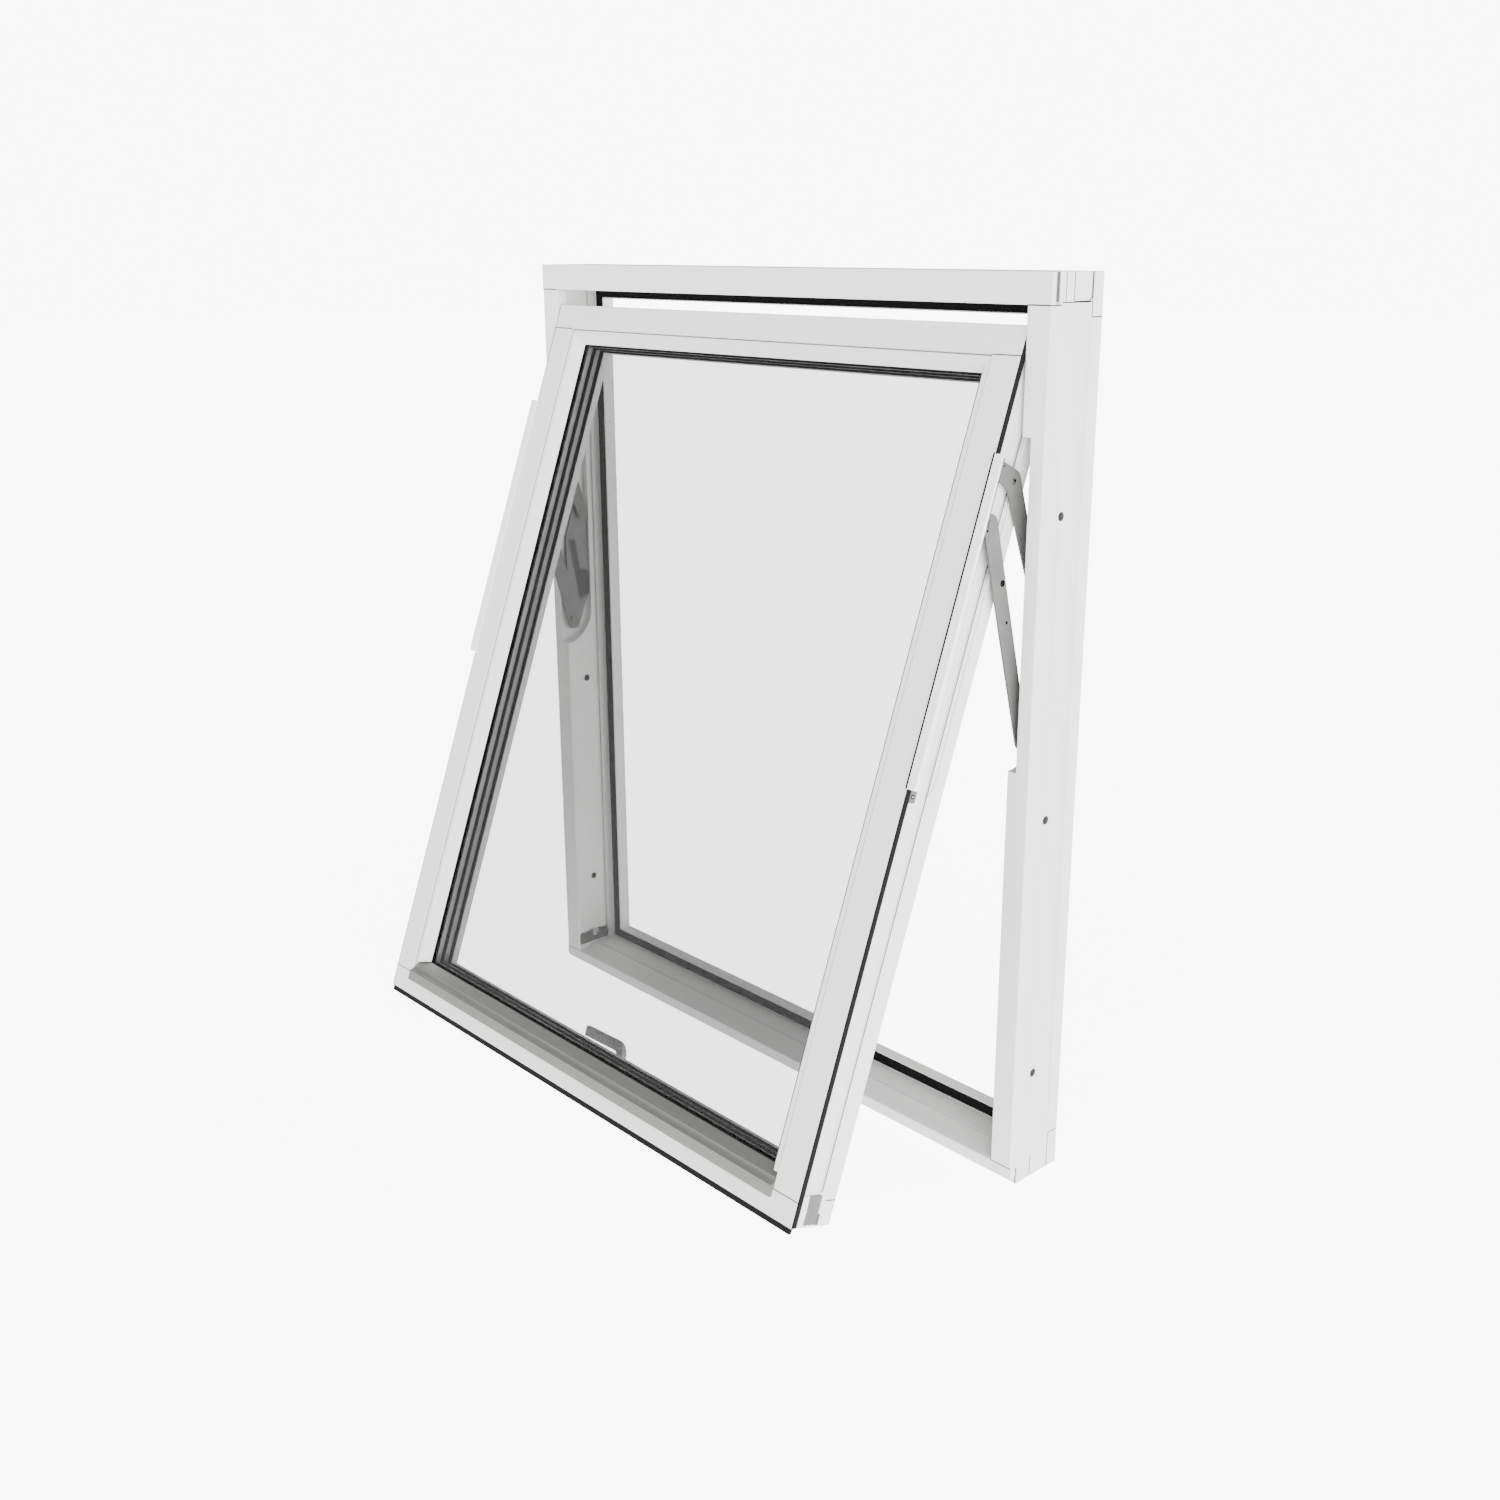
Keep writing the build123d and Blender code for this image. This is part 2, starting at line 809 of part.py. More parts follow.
def unit_layer(name, n, thick, outer_x, low, high, ring_width):
    """A sheet of the glazing unit, or a ring where ring_width is given."""
    with BuildPart() as layer:
        with BuildSketch(face_plane(n)):
            if ring_width:
                ring(outer_x, -high, -low, ring_width)
            else:
                with Locations((0, -(low + high) / 2)):
                    Rectangle(2 * outer_x, high - low)
        extrude(amount=-thick)
    save(layer, name)


bar_x = daylight_x + spacer_bar
bar_top = daylight_top - spacer_bar
bar_foot = daylight_foot + spacer_bar
outer_cavity = glass_n + glass_thick
inner_cavity = middle_glass_n + glass_thick
unit_layer("pane_outer", glass_n, glass_thick, glass_x, glass_top, glass_foot, 0)
unit_layer("pane_middle", middle_glass_n, glass_thick, glass_x, glass_top, glass_foot, 0)
unit_layer("pane_inner", inner_glass_n, glass_thick, glass_x, glass_top, glass_foot, 0)
unit_layer("edge_seal_outer", outer_cavity, seal_front, bar_x, bar_top, bar_foot, spacer_bar)
unit_layer("spacer_outer", outer_cavity + seal_front, cavity - seal_front, bar_x, bar_top, bar_foot, spacer_bar)
unit_layer("edge_seal_middle", inner_cavity, seal_middle, bar_x, bar_top, bar_foot, spacer_bar)
spacer_inner_depth = cavity - 2 * seal_middle
unit_layer("spacer_inner", inner_cavity + seal_middle, spacer_inner_depth, bar_x, bar_top, bar_foot, spacer_bar)
unit_layer("edge_seal_inner", inner_glass_n - seal_middle, seal_middle, bar_x, bar_top, bar_foot, spacer_bar)
sealant_x = glass_x + edge_seal
sealant_top = glass_top - edge_seal
sealant_foot = glass_foot + edge_seal
unit_layer("edge_sealant", glass_n, unit_depth, sealant_x, sealant_top, sealant_foot, edge_seal)
unit_layer("glazing_tape_outer", bead_back_n, tape, glass_x, glass_top, glass_foot, edge_cover)
unit_layer("glazing_tape_inner", inner_lip_n - tape, tape, glass_x, glass_top, glass_foot, edge_cover)

for side, name in sides:
    with BuildPart() as block:
        with BuildSketch(face_plane(glass_n)):
            with Locations((side * (glass_x - block_length), -(sealant_foot + bottom_joint) / 2)):
                Rectangle(block_length, bottom_joint - sealant_foot)
        extrude(amount=-unit_depth)
    save(block, f"setting_block_{name}")


# Beads

top_bead_s = top_rail_height + top_bead_gap
bead_foot_back = daylight_foot - bead_foot_gap
bead_foot_front = bead_foot_back + bead_foot_slope


def bead_profile(outer, inner, turn):
    """Flat at the outer edge, sloping down to the glass; turn swaps the axes for the top bead."""
    step = bead_flat if inner > outer else -bead_flat
    points = (
        (outer, bead_front_n),
        (outer + step, bead_front_n),
        (inner, bead_back_n - bead_nose),
        (inner, bead_back_n),
        (outer, bead_back_n),
    )
    Polyline([(n, x) if turn else (x, n) for x, n in points], close=True)


with BuildPart() as top_bead:
    with BuildSketch(rail_plane(-bead_x)):
        with BuildLine():
            bead_profile(-top_bead_s, -daylight_top, True)
        make_face()
    extrude(amount=2 * bead_x)
    for side, _ in sides:
        with BuildSketch(face_plane(0)):
            with BuildLine():
                Polyline(
                    (side * bead_x, -top_bead_s),
                    (side * daylight_x, -daylight_top),
                    (side * daylight_x, -daylight_top - mitre_margin),
                    (side * (bead_x + mitre_margin), -daylight_top - mitre_margin),
                    (side * (bead_x + mitre_margin), -top_bead_s),
                    close=True,
                )
            make_face()
        extrude(amount=-glass_n, mode=Mode.SUBTRACT)
save(top_bead, "bead_top")


def make_side_bead(side):
    with BuildPart() as bead:
        with BuildSketch(stile_plane(top_bead_s)):
            with BuildLine():
                bead_profile(side * bead_x, side * daylight_x, False)
            make_face()
        extrude(amount=top_bead_s - bottom_joint)
        with BuildSketch(face_plane(0)):
            with BuildLine():
                Polyline(
                    (side * bead_x, -top_bead_s),
                    (side * daylight_x, -daylight_top),
                    (side * (daylight_x - mitre_margin), -daylight_top),
                    (side * (daylight_x - mitre_margin), -top_bead_s + mitre_margin),
                    (side * bead_x, -top_bead_s + mitre_margin),
                    close=True,
                )
            make_face()
        extrude(amount=-glass_n, mode=Mode.SUBTRACT)
        with BuildSketch(rail_plane(side * (bead_x + cut_margin))):
            with BuildLine():
                Polyline(
                    (bead_back_n + cut_margin, -bead_foot_back),
                    (bead_front_n - cut_margin, -bead_foot_front),
                    (bead_front_n - cut_margin, -bottom_joint - cut_margin),
                    (bead_back_n + cut_margin, -bottom_joint - cut_margin),
                    close=True,
                )
            make_face()
        extrude(amount=-side * (side_bead_width + 2 * cut_margin), mode=Mode.SUBTRACT)
    return bead


for side, name in sides:
    save(make_side_bead(side), f"bead_{name}")

with BuildPart() as sill_bead:
    sill_bead_top = -daylight_foot - sill_bead_sight
    shoulder = (sill_bead_shoulder_n, sill_bead_top - sill_bead_shoulder_drop)
    cove_foot = (sill_bead_edge - sill_bead_lip_n, sill_bead_lip_rise + sill_bead_edge - bottom_joint)
    lip_foot = -bottom_joint - sill_bead_lip_drop
    with BuildSketch(rail_plane(-bead_x)):
        with BuildLine():
            Polyline((0, -bottom_joint), (bead_back_n, -bottom_joint))
            Polyline((bead_back_n, -bottom_joint), (bead_back_n, sill_bead_top), shoulder)
            RadiusArc(shoulder, cove_foot, sill_bead_cove)
            Polyline(
                cove_foot,
                (-sill_bead_lip_n, sill_bead_lip_rise - bottom_joint),
                (-sill_bead_lip_n, lip_foot + sill_bead_edge),
                (sill_bead_edge - sill_bead_lip_n, lip_foot),
                (0, lip_foot),
                (0, -bottom_joint),
            )
        make_face()
    extrude(amount=2 * bead_x)
save(sill_bead, "bead_bottom")


# Gaskets of the sash

with BuildPart() as sash_gasket:
    with BuildSketch(face_plane(stile_front_lip)):
        for side, _ in sides:
            with Locations((side * (half_sash - side_recess_depth / 2), -sash_length / 2)):
                Rectangle(side_recess_depth, sash_length)
    extrude(amount=-gasket_n)
save(sash_gasket, "sash_gasket")

with BuildPart() as bottom_seal:
    with BuildSketch(rail_plane(-half_sash + seal_inset)):
        with BuildLine():
            Polyline(
                (seal_front_n, -sash_length),
                (seal_front_n + seal_taper, -sash_length - seal_drop),
                (gasket_n - seal_taper, -sash_length - seal_drop),
                (gasket_n, -sash_length),
                close=True,
            )
        make_face()
    extrude(amount=2 * (half_sash - seal_inset))
save(bottom_seal, "bottom_seal")


# Hinge rails, cover rails, corner pieces


def make_hinge_rail(side):
    with BuildPart() as rail:
        with BuildSketch(rail_plane(side * half_sash)):
            with Locations((hinge_rail_n + hinge_rail_width / 2, -(rail_start + hinge_rail_end) / 2)):
                Rectangle(hinge_rail_width, hinge_rail_end - rail_start)
        extrude(amount=-side * side_recess_depth)
    return rail


def make_cover(side):
    """Bent cover: front strip, outer web that widens downward, inner leg against the sash."""
    cover_x = side_x(side, cover_t)
    with BuildPart() as cover:
        with BuildSketch(face_plane(-cover_front_n)):
            middle = (cover_x + side * half_sash) / 2
            with Locations((middle, -(rail_start + cover_end) / 2)):
                Rectangle(sash_edge - cover_t, cover_end - rail_start)
        extrude(amount=-cover_wall)
        with BuildSketch(rail_plane(cover_x)):
            with BuildLine():
                Polyline(
                    (-cover_front_n, -rail_start),
                    (cover_top_n, -rail_start),
                    (cover_foot_n, -cover_end),
                    (-cover_front_n, -cover_end),
                    close=True,
                )
            make_face()
        extrude(amount=-side * cover_wall)
        with BuildSketch(rail_plane(side * half_sash)):
            with Locations(((cover_leg_n - cover_front_n) / 2, -(rail_start + cover_end) / 2)):
                Rectangle(cover_leg_n + cover_front_n, cover_end - rail_start)
        extrude(amount=side * cover_wall)
    return cover


def make_corner(side):
    with BuildPart() as corner:
        with BuildSketch(rail_plane(side * half_sash)):
            with Locations((corner_n + corner_width / 2, -corner_start - corner_length / 2)):
                Rectangle(corner_width, corner_length)
            with Locations((bolt_n, -bolt_s)):
                Circle(bolt_r + bolt_clearance, mode=Mode.SUBTRACT)
        extrude(amount=-side * side_recess_depth)
    return corner


def make_bolt(side):
    with BuildPart() as bolt:
        with BuildSketch(rail_plane(side * half_sash)):
            with Locations((bolt_n, -bolt_s)):
                Circle(bolt_r)
        extrude(amount=-side * bolt_length)
    return bolt


for side, name in sides:
    save(make_hinge_rail(side), f"hinge_rail_{name}")
    save(make_cover(side), f"cover_rail_{name}")
    save(make_corner(side), f"corner_piece_{name}")
    save(make_bolt(side), f"bolt_{name}")


# Handle

with BuildPart() as rosette:
    with BuildSketch(face_plane(sash_depth)):
        with Locations((0, -handle_s)):
            Circle(rosette_r)
    extrude(amount=-rosette_thick)
save(rosette, "handle_rosette")

with BuildPart() as lever:
    neck = rosette_thick + handle_gap
    with BuildSketch(face_plane(sash_depth + neck)):
        with Locations((0, -handle_s)):
            Circle(hub_r)
    extrude(amount=-handle_reach + neck)
    with BuildSketch(face_plane(sash_depth + handle_reach)):
        with BuildLine():
            FilletPolyline(
                (0, -handle_s),
                (0, -handle_s + handle_crank),
                (handle_width / 2 - grip_length, -handle_s + handle_crank - handle_rise),
                radius=handle_bend,
            )
        trace(line_width=handle_width)
    extrude(amount=-handle_thick)
save(lever, "handle_lever")
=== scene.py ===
# %% [markdown]
# A top-swing timber window with its sash pushed out at the foot. The solids of the window come from
# the frame file; this lesson gives each of them its real finish, softens the painted edges, and
# adds the small parts that a window fitter would look for: joint lines, gasket lips, seals,
# sleeves, screws, rivets and brackets.

# %% Load the frame
import json
import math

import bpy
import bmesh
from mathutils import Matrix, Vector

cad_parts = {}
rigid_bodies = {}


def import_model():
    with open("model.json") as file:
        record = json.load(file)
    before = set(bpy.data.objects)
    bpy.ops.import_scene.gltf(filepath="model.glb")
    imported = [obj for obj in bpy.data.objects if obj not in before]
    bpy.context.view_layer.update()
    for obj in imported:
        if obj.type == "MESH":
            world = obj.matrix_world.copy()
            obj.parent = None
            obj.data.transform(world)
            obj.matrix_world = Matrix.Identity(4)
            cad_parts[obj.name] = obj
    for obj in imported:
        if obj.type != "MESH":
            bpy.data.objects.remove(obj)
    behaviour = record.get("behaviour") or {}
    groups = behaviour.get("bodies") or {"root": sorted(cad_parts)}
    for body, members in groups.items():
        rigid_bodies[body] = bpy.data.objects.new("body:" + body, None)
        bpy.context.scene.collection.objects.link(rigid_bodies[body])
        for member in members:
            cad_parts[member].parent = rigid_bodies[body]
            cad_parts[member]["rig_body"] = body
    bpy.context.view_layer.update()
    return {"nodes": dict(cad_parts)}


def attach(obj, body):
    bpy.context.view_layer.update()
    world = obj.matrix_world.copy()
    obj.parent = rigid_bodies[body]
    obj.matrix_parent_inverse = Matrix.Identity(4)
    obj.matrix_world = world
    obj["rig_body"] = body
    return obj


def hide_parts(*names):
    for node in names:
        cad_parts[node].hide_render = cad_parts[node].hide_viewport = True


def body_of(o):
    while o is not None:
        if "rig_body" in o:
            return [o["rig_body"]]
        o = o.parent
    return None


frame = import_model()
nodes = frame["nodes"]

# %% [markdown]
# The window's own measures, in metres. The origin is the middle of the sill's underside, so the
# frame's outer face lies half a frame depth in front of it. Three letters are used all through, in
# millimetres: t runs inward from the frame's outer side, s runs down the slope of the sash from its
# top edge, and n runs inward from the sash's front face.

# %% Measures
MM = 0.001
HALF_WIDTH = 590 * MM
OUTER_Y = -58 * MM
FRAME_HEIGHT = 1400 * MM
SASH_TOP_Y = 9.5 * MM
SASH_TOP_Z = FRAME_HEIGHT - 70.5 * MM
TILT = math.radians(20)
DOWN = Vector((0, -math.sin(TILT), -math.cos(TILT)))
INWARD = Vector((0, math.cos(TILT), -math.sin(TILT)))
OUTWARD = -INWARD
SIDES = ((-1, "left"), (1, "right"))

SASH_SIDE_T = 44
BEAD_JOINT_T = 95


def side_x(side, t):
    """x of a point that lies t in from the frame's outer side."""
    return side * (HALF_WIDTH - t * MM)


def sash_place(x, s, n):
    """A point on the sash: x in metres, s and n in millimetres."""
    corner = Vector((x, OUTER_Y + SASH_TOP_Y, SASH_TOP_Z))
    return corner + DOWN * s * MM + INWARD * n * MM


def frame_place(side, t, y, z):
    """A point on the frame, in millimetres: y runs inward from the frame's outer face, z up."""
    return Vector((side_x(side, t), OUTER_Y + y * MM, z * MM))


# %% [markdown]
# Every finish is a small node tree. A helper makes the material and hands back its shader, so that
# the cells below hold only what is special to each finish: the colour, how rough it is and what
# breaks up its surface. Patterns read Object coordinates, so they stay put when a part moves.

# %% Material helpers


def new_finish(name, colour, roughness, metallic=0.0):
    """A material with a Principled shader; returns the material, its node tree and the shader."""
    material = bpy.data.materials.new(name)
    material.use_nodes = True
    tree = material.node_tree
    shader = tree.nodes["Principled BSDF"]
    shader.inputs["Base Color"].default_value = (*colour, 1)
    shader.inputs["Roughness"].default_value = roughness
    shader.inputs["Metallic"].default_value = metallic
    return material, tree, shader


def object_noise(tree, scale, detail, stretch=(1, 1, 1)):
    """Noise on Object coordinates, stretched along an axis where the surface has a direction."""
    place = tree.nodes.new("ShaderNodeTexCoord")
    mapping = tree.nodes.new("ShaderNodeMapping")
    mapping.inputs["Scale"].default_value = stretch
    noise = tree.nodes.new("ShaderNodeTexNoise")
    noise.inputs["Scale"].default_value = scale
    noise.inputs["Detail"].default_value = detail
    tree.links.new(place.outputs["Object"], mapping.inputs["Vector"])
    tree.links.new(mapping.outputs["Vector"], noise.inputs["Vector"])
    return noise


def vary_colour(tree, shader, noise, low, high):
    """Lets the noise move the base colour between two close shades."""
    ramp = tree.nodes.new("ShaderNodeValToRGB")
    ramp.color_ramp.elements[0].position = 0.3
    ramp.color_ramp.elements[1].position = 0.7
    ramp.color_ramp.elements[0].color = (*low, 1)
    ramp.color_ramp.elements[1].color = (*high, 1)
    tree.links.new(noise.outputs["Fac"], ramp.inputs["Fac"])
    tree.links.new(ramp.outputs["Color"], shader.inputs["Base Color"])


def vary_roughness(tree, shader, noise, low, high):
    """Lets the noise move the roughness between two values."""
    spread = tree.nodes.new("ShaderNodeMapRange")
    spread.inputs["To Min"].default_value = low
    spread.inputs["To Max"].default_value = high
    tree.links.new(noise.outputs["Fac"], spread.inputs["Value"])
    tree.links.new(spread.outputs["Result"], shader.inputs["Roughness"])


def add_bump(tree, shader, noise, strength, distance):
    """Raises the surface by the noise."""
    bump = tree.nodes.new("ShaderNodeBump")
    bump.inputs["Strength"].default_value = strength
    bump.inputs["Distance"].default_value = distance
    tree.links.new(noise.outputs["Fac"], bump.inputs["Height"])
    tree.links.new(bump.outputs["Normal"], shader.inputs["Normal"])


# %% [markdown]
# The timber is sprayed white with a satin paint. Close up it shows a faint orange peel and, under
# it, the grain running along each piece. Two copies of the finish are made, because the grain runs
# along X in the rails and along Z in the jambs and stiles.

# %% White paint on timber
PAINT = (0.735, 0.732, 0.72)
PAINT_WARM = (0.715, 0.709, 0.694)


def paint_finish(name, stretch):
    """White paint over timber whose grain runs along the axis with the smallest stretch."""
    material, tree, shader = new_finish(name, PAINT, roughness=0.38)
    grain = object_noise(tree, scale=14.0, detail=6.0, stretch=stretch)
    vary_colour(tree, shader, grain, PAINT_WARM, PAINT)
    vary_roughness(tree, shader, grain, low=0.34, high=0.46)
    peel = object_noise(tree, scale=420.0, detail=2.0)
    add_bump(tree, shader, peel, strength=0.12, distance=0.0004)
    shader.inputs["Specular IOR Level"].default_value = 0.4
    return material


paint_rail = paint_finish("paint_along_rails", (0.6, 9.0, 9.0))
paint_post = paint_finish("paint_along_posts", (9.0, 9.0, 0.6))

# %% [markdown]
# The gaskets are black rubber with a dull, slightly dusty skin. The seals inside the glazing unit
# are nearly the same colour but smoother, because they are a poured butyl. The setting blocks are
# dark plastic.

# %% Rubber, butyl and plastic
rubber, rubber_tree, rubber_shader = new_finish(
    "gasket_rubber", (0.005, 0.005, 0.005), roughness=0.75
)
rubber_shader.inputs["Specular IOR Level"].default_value = 0.12
rubber_grain = object_noise(rubber_tree, scale=260.0, detail=3.0)
vary_roughness(rubber_tree, rubber_shader, rubber_grain, low=0.65, high=0.85)
add_bump(rubber_tree, rubber_shader, rubber_grain, strength=0.2, distance=0.0003)

butyl, butyl_tree, butyl_shader = new_finish("edge_butyl", (0.012, 0.012, 0.013), roughness=0.6)
butyl_shader.inputs["Specular IOR Level"].default_value = 0.2
butyl_grain = object_noise(butyl_tree, scale=90.0, detail=2.0)
vary_roughness(butyl_tree, butyl_shader, butyl_grain, low=0.5, high=0.7)

block_plastic, block_tree, block_shader = new_finish(
    "setting_block_plastic", (0.02, 0.02, 0.02), roughness=0.6
)
block_grain = object_noise(block_tree, scale=150.0, detail=2.0)
vary_roughness(block_tree, block_shader, block_grain, low=0.5, high=0.7)

# %% [markdown]
# The bottom bead is extruded aluminium with a satin anodised skin: the fine lines run along the
# bar. The spacer bars inside the glazing unit are a brighter aluminium.

# %% Aluminium
ANODISED_DARK = (0.205, 0.205, 0.192)
ANODISED_LIGHT = (0.245, 0.245, 0.231)

anodised, anodised_tree, anodised_shader = new_finish(
    "anodised_bead", (0.225, 0.225, 0.212), roughness=0.42, metallic=0.7
)
anodised_lines = object_noise(anodised_tree, scale=60.0, detail=5.0, stretch=(0.2, 12.0, 12.0))
vary_colour(anodised_tree, anodised_shader, anodised_lines, ANODISED_DARK, ANODISED_LIGHT)
vary_roughness(anodised_tree, anodised_shader, anodised_lines, low=0.36, high=0.5)

spacer_metal, spacer_tree, spacer_shader = new_finish(
    "spacer_metal", (0.3, 0.305, 0.305), roughness=0.45, metallic=0.4
)
spacer_lines = object_noise(spacer_tree, scale=80.0, detail=3.0)
vary_roughness(spacer_tree, spacer_shader, spacer_lines, low=0.34, high=0.48)

# %% [markdown]
# Arms, hinge rails, pins and striker plates are zinc plated steel: a cool grey with cloudy patches.
# The hinge plates and the sleeves are a duller steel, and some screws a brighter one. The cover
# rails are powder coated white, and the handle is lacquered silver grey.

# %% Steel, powder coat and lacquer
ZINC_DARK = (0.1, 0.1, 0.097)
ZINC_LIGHT = (0.125, 0.125, 0.121)

zinc, zinc_tree, zinc_shader = new_finish(
    "zinc_steel", (0.11, 0.11, 0.107), roughness=0.45, metallic=0.35
)
zinc_cloud = object_noise(zinc_tree, scale=22.0, detail=3.0)
vary_colour(zinc_tree, zinc_shader, zinc_cloud, ZINC_DARK, ZINC_LIGHT)
vary_roughness(zinc_tree, zinc_shader, zinc_cloud, low=0.4, high=0.52)

dark_zinc, dark_tree, dark_shader = new_finish(
    "dark_zinc", (0.13, 0.13, 0.13), roughness=0.55, metallic=0.2
)
dark_cloud = object_noise(dark_tree, scale=45.0, detail=5.0)
vary_roughness(dark_tree, dark_shader, dark_cloud, low=0.4, high=0.6)

powder, powder_tree, powder_shader = new_finish(
    "white_powder_coat", (0.84, 0.84, 0.83), roughness=0.35
)
powder_grain = object_noise(powder_tree, scale=600.0, detail=2.0)
add_bump(powder_tree, powder_shader, powder_grain, strength=0.15, distance=0.0003)
vary_roughness(powder_tree, powder_shader, powder_grain, low=0.3, high=0.42)

lacquer, lacquer_tree, lacquer_shader = new_finish(
    "silver_lacquer", (0.36, 0.37, 0.37), roughness=0.35, metallic=0.6
)
lacquer_grain = object_noise(lacquer_tree, scale=500.0, detail=2.0)
vary_roughness(lacquer_tree, lacquer_shader, lacquer_grain, low=0.28, high=0.42)

# %% [markdown]
# Clear float glass is all gloss and no roughness. The photograph shows it a little grey and without
# any reflection, so the tint is darker and the refraction lower than those of real glass.

# %% Glass
glass, glass_tree, glass_shader = new_finish("float_glass", (0.725, 0.727, 0.726), roughness=0.0)
glass_shader.inputs["Transmission Weight"].default_value = 1.0
glass_shader.inputs["IOR"].default_value = 1.22
glass_ripple = object_noise(glass_tree, scale=2.0, detail=1.0)
add_bump(glass_tree, glass_shader, glass_ripple, strength=0.02, distance=0.0002)

# %% [markdown]
# The finishes go onto the nodes by what each part is. The names say it: the list below matches the
# start of a node's name with its finish and its slot, and the first match counts. What matches
# nothing is zinc plated steel.

# %% Finish every node
FINISHES = (
    ("frame_head", paint_rail, "white_timber"),
    ("frame_sill", paint_rail, "white_timber"),
    ("frame_jamb", paint_post, "white_timber"),
    ("frame_stop_head", paint_rail, "white_timber"),
    ("frame_stop_sill", paint_rail, "white_timber"),
    ("frame_stop", paint_post, "white_timber"),
    ("frame_gasket", rubber, "black_rubber"),
    ("frame_pin", zinc, "zinc_steel"),
    ("sash_top_rail", paint_rail, "white_timber"),
    ("sash_bottom_rail", paint_rail, "white_timber"),
    ("sash_stile", paint_post, "white_timber"),
    ("sash_gasket", rubber, "black_rubber"),
    ("bottom_seal", rubber, "black_rubber"),
    ("bead_top", paint_rail, "white_timber"),
    ("bead_left", paint_post, "white_timber"),
    ("bead_right", paint_post, "white_timber"),
    ("bead_bottom", anodised, "anodised_aluminium"),
    ("pane", glass, "glass"),
    ("spacer", spacer_metal, "spacer_aluminium"),
    ("edge_seal", butyl, "black_rubber"),
    ("glazing_tape", rubber, "black_rubber"),
    ("setting_block", block_plastic, "black_rubber"),
    ("cover_rail", powder, "white_cover"),
    ("handle", lacquer, "handle_metal"),
    ("hinge_plate", dark_zinc, "zinc_steel"),
)


def finish_of(name):
    """The material and the slot of the node with this name."""
    for start, material, slot in FINISHES:
        if name.startswith(start):
            return material, slot
    return zinc, "zinc_steel"


for name, node in nodes.items():
    material, slot = finish_of(name)
    node.data.materials.clear()
    node.data.materials.append(material)
print("finished", len(nodes), "nodes")

# %% [markdown]
# Painted timber has no sharp edge: the joiner eases each one by about a millimetre so that the
# paint holds, and that is what draws the fine lines at the joints. A copy of the node is merged,
# its flat faces are joined, and a Bevel modifier rounds its edges. The copy then stands for the
# node. The head and the sill of the frame keep their CAD edges.

# %% Ease the edges of the timber
EASE = 0.9 * MM
MERGE_DISTANCE = 0.02 * MM
FLAT_ANGLE = math.radians(0.5)
EDGE_ANGLE = math.radians(25)
CRISP = ("frame_head", "frame_sill")


def eased_copy(name):
    """A merged copy of a node with rounded edges, riding on the node's own body."""
    node = nodes[name]
    body = body_of(node)
    mesh = bpy.data.meshes.new(name + "_eased")
    work = bmesh.new()
    work.from_mesh(node.data)
    bmesh.ops.remove_doubles(work, verts=work.verts, dist=MERGE_DISTANCE)
    bmesh.ops.dissolve_limit(work, angle_limit=FLAT_ANGLE, verts=work.verts, edges=work.edges)
    bmesh.ops.recalc_face_normals(work, faces=work.faces)
    work.to_mesh(mesh)
    work.free()
    copy = bpy.data.objects.new(name + "_eased", mesh)
    bpy.context.collection.objects.link(copy)
    bevel = copy.modifiers.new("eased edge", "BEVEL")
    bevel.width = EASE
    bevel.segments = 2
    bevel.limit_method = "ANGLE"
    bevel.angle_limit = EDGE_ANGLE
    bevel.harden_normals = False
    material, slot = finish_of(name)
    mesh.materials.append(material)
    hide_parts(name)
    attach(copy, body if isinstance(body, str) else body[0])


TIMBER = [name for name in nodes if finish_of(name)[1] == "white_timber" and name not in CRISP]
for name in TIMBER:
    eased_copy(name)
print("eased", TIMBER)

# %% [markdown]
# The added pieces that are straight bars share one helper, which closes the space between two rings
# of corners.

# %% Mesh helpers


def mesh_piece(name, vertices, faces, material, body):
    """A piece made of plain vertices and faces, facing outward, riding on one body."""
    work = bmesh.new()
    made = [work.verts.new(vertex) for vertex in vertices]
    for face in faces:
        work.faces.new([made[index] for index in face])
    bmesh.ops.recalc_face_normals(work, faces=work.faces)
    mesh = bpy.data.meshes.new(name)
    work.to_mesh(mesh)
    work.free()
    mesh.materials.append(material)
    piece = bpy.data.objects.new(name, mesh)
    bpy.context.collection.objects.link(piece)
    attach(piece, body)


def bar(name, near, far, material, body, slot):
    """A closed piece between two rings that have the same number of corners."""
    count = len(near)
    faces = [tuple(range(count)), tuple(range(count, 2 * count))]
    for index in range(count):
        following = (index + 1) % count
        faces.append((index, following, count + following, count + index))
    mesh_piece(name, [*near, *far], faces, material, body)


# %% [markdown]
# Where two pieces of timber meet there is a fine grey line: partly the joint's own dark line,
# partly painted shade for the shadow in the groove between the two eased edges. Each one is a thin
# strip
# let into the joint: along the rails and beads of the sash, between the head, jambs, stops and sill
# of the frame, and round the tenons that show on the ends of the head. Wider strips paint the shade
# in the slot at the sash's foot corners and in the kerfs in the ends of the head and sill.

# %% Joint lines
SEAM_WIDTH = 1.9 * MM
SEAM_PROUD = 0.02 * MM
SEAM_DEPTH = 0.4 * MM
SLOT_WIDTH = 4.8 * MM

# The strips' near-black colour is the joint's own line plus painted shade for the shadow in the
# groove, slot or kerf
joint_and_shade_paint, joint_and_shade_tree, joint_and_shade_shader = new_finish(
    "joint_line_and_shade", (0.06, 0.059, 0.058), roughness=0.6
)
joint_and_shade_grain = object_noise(joint_and_shade_tree, scale=120.0, detail=2.0)
vary_roughness(joint_and_shade_tree, joint_and_shade_shader, joint_and_shade_grain, low=0.5, high=0.7)


